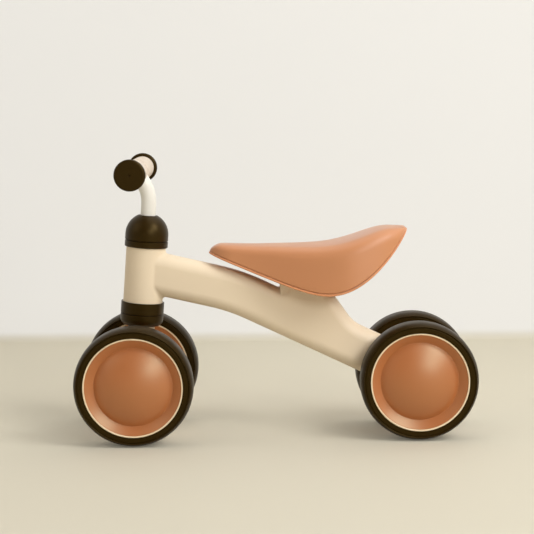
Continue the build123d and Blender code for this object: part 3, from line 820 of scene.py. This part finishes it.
def stage_material(name, floor, wall, glow):
    """Pale matt sheet, clear from behind: the floor's colour, the wall's above its foot, and a
    share that glows, which grows to the whole far from the bike, where the lights don't reach."""
    material, tree, shader = new_material(name)
    shader.inputs["Roughness"].default_value = STAGE_ROUGHNESS
    coord = add(tree, "ShaderNodeTexCoord")
    split = add(tree, "ShaderNodeSeparateXYZ")
    smooth = {"interpolation_type": "SMOOTHSTEP"}
    height = add(tree, "ShaderNodeMapRange", {"From Min": 0.0, "From Max": WALL_FOOT}, **smooth)
    away = add(tree, "ShaderNodeVectorMath", operation="LENGTH")
    near, beyond = FAR_GLOW
    far = add(tree, "ShaderNodeMapRange", {"From Min": near, "From Max": beyond}, **smooth)
    ends = {"A": (*floor, 1), "B": (*wall, 1)}
    shades = add(tree, "ShaderNodeMix", ends, data_type="RGBA")
    shares = add(tree, "ShaderNodeMix", {"A": glow[0], "B": glow[1]}, data_type="FLOAT")
    spread = add(tree, "ShaderNodeMix", {"B": 1.0}, data_type="FLOAT")
    path = add(tree, "ShaderNodeLightPath")
    mirrored = add(tree, "ShaderNodeMath", operation="MAXIMUM")
    seen = add(tree, "ShaderNodeMath", operation="MAXIMUM")
    part = add(tree, "ShaderNodeMath", operation="MULTIPLY")
    lit = add(tree, "ShaderNodeEmission")
    pale = add(tree, "ShaderNodeMixShader")
    behind = add(tree, "ShaderNodeNewGeometry")
    clear = add(tree, "ShaderNodeBsdfTransparent")
    sides = add(tree, "ShaderNodeMixShader")
    wire(
        tree,
        (coord.outputs["Object"], split.inputs[0]),
        (split.outputs["Z"], height.inputs["Value"]),
        (height.outputs["Result"], shades.inputs["Factor"]),
        (shades.outputs["Result"], shader.inputs["Base Color"]),
        (shades.outputs["Result"], lit.inputs["Color"]),
        (path.outputs["Is Glossy Ray"], mirrored.inputs[0]),
        (path.outputs["Is Transmission Ray"], mirrored.inputs[1]),
        (path.outputs["Is Camera Ray"], seen.inputs[0]),
        (mirrored.outputs[0], seen.inputs[1]),
        (height.outputs["Result"], shares.inputs["Factor"]),
        (coord.outputs["Object"], away.inputs[0]),
        (away.outputs["Value"], far.inputs["Value"]),
        (far.outputs["Result"], spread.inputs["Factor"]),
        (shares.outputs["Result"], spread.inputs["A"]),
        (seen.outputs[0], part.inputs[0]),
        (spread.outputs["Result"], part.inputs[1]),
        (part.outputs[0], pale.inputs[0]),
        (shader.outputs[0], pale.inputs[1]),
        (lit.outputs[0], pale.inputs[2]),
        (behind.outputs["Backfacing"], sides.inputs[0]),
        (pale.outputs[0], sides.inputs[1]),
        (clear.outputs[0], sides.inputs[2]),
        (sides.outputs[0], tree.nodes["Material Output"].inputs["Surface"]),
    )
    return material


class BIKE_OT_stage(bpy.types.Operator):
    """Set up the pale floor and backdrop, the soft lights and the camera"""

    bl_idname = "bike.stage"
    bl_label = "Stage"

    def execute(self, context):
        scene = context.scene
        c, s = scene.bike_finishes, scene.bike_stage
        grid = cove_grid(s.wall_y)
        floor = new_piece("floor", grid.reshape(-1, 3), quads(numbers(grid)))
        glow = (s.floor_glow, s.wall_glow)
        floor.data.materials.append(stage_material("pale_stage", c.floor, c.wall, glow))
        self.lights(scene)
        self.camera(scene, s)
        scene.view_settings.view_transform = "Standard"
        return {"FINISHED"}

    def lights(self, scene):
        """A pale surround, a soft key at the right, a fill at the camera's right, a glow over the
        back and a weak one at the left."""
        world = bpy.data.worlds.new("surround")
        scene.world = world
        world.use_nodes = True
        back = world.node_tree.nodes["Background"]
        back.inputs["Color"].default_value = (*linear(*SURROUND_SHADE), 1)
        back.inputs["Strength"].default_value = SURROUND_STRENGTH
        for lamp in LAMPS:
            area_light(lamp)

    def camera(self, scene, s):
        """Camera axes: forward dips below the heading; right and up are turned by the roll."""
        ahead = Vector((math.sin(s.heading), -math.cos(s.heading), 0))
        side = Vector((-math.cos(s.heading), -math.sin(s.heading), 0))
        rise = Vector((0, 0, 1))
        forward = ahead * math.cos(s.dip) - rise * math.sin(s.dip)
        up = ahead * math.sin(s.dip) + rise * math.cos(s.dip)
        right = side * math.cos(s.roll) + up * math.sin(s.roll)
        over = up * math.cos(s.roll) - side * math.sin(s.roll)
        lens = bpy.data.cameras.new("camera")
        lens.sensor_width = SENSOR_MM
        lens.lens = s.focal_pixels / IMAGE_PIXELS * SENSOR_MM
        camera = bpy.data.objects.new("camera", lens)
        turn = Matrix((right, over, -forward)).transposed().to_4x4()
        camera.matrix_world = Matrix.Translation(s.camera_place) @ turn
        scene.collection.objects.link(camera)
        scene.camera = camera


class BIKE_PT_panel(bpy.types.Panel):
    """Lists the steps and their sizes"""

    bl_idname = "BIKE_PT_panel"
    bl_label = "Balance bike"
    bl_space_type = "VIEW_3D"
    bl_region_type = "UI"
    bl_category = "Bike"

    def draw(self, context):
        column = self.layout.column()
        for operator in STEPS:
            column.operator(operator.bl_idname)
        for group_name, group in GROUPS.items():
            box = column.box()
            for name in group.__annotations__:
                box.prop(getattr(context.scene, group_name), name)


GROUPS = {
    "bike_finishes": BikeFinishes,
    "bike_saddle": SaddleSizes,
    "bike_wheels": WheelSizes,
    "bike_stage": StageSettings,
}
STEPS = (BIKE_OT_finishes, BIKE_OT_saddle, BIKE_OT_wheels, BIKE_OT_stage)
CLASSES = (*GROUPS.values(), *STEPS, BIKE_PT_panel)


def register():
    for cls in CLASSES:
        bpy.utils.register_class(cls)
    for name, group in GROUPS.items():
        setattr(bpy.types.Scene, name, PointerProperty(type=group))


def unregister():
    for name in GROUPS:
        delattr(bpy.types.Scene, name)
    for cls in reversed(CLASSES):
        bpy.utils.unregister_class(cls)


def main():
    register()
    bpy.ops.bike.finishes()
    bpy.ops.bike.saddle()
    bpy.ops.bike.wheels()
    bpy.ops.bike.stage()


if __name__ == "__main__":
    main()
